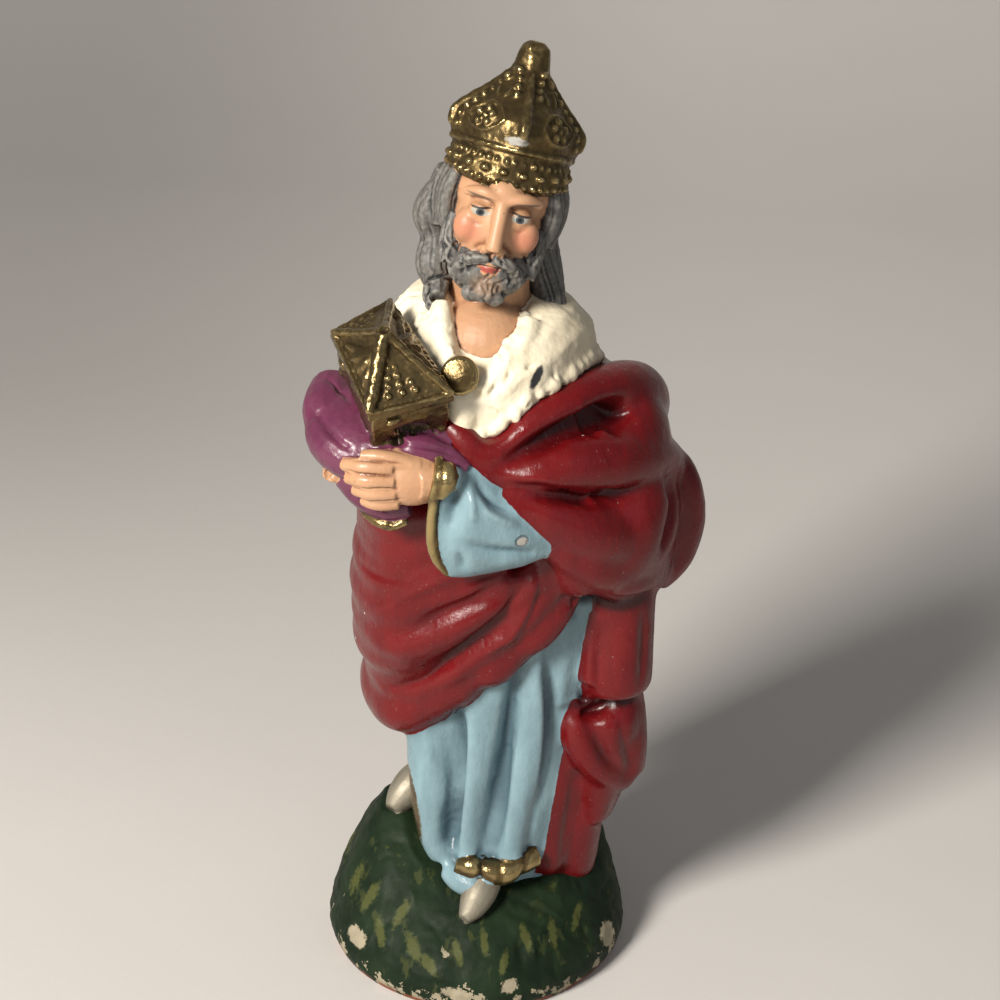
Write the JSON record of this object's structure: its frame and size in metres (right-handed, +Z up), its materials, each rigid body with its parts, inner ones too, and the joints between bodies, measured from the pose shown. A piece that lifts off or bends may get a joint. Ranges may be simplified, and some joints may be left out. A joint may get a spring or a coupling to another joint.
{
  "type": "nativity wise man figurine",
  "caption": "Standing king from a nativity set in a tall gilt hat, ermine collar, red cloak and blue robe, holding a gilt casket on a cushion, on a grassy mound.",
  "frame": {"origin": "middle of the mound's flat underside, on the ground", "axes": "+Z up, -Y the way the figure faces, +X the viewer's right as the figure is seen from its front"},
  "size_m": [0.0453, 0.0377, 0.1116],
  "materials": {
    "painted_plaster": "hand-painted plaster composition: semi-gloss red cloak, pale blue robe, matt cream collar, antique gilt hat and casket, peach skin, grey hair, purple cushion and dark green mound"
  },
  "bodies": {
    "root": {"wise_man_figurine": "painted_plaster"}
  },
  "joints": []
}
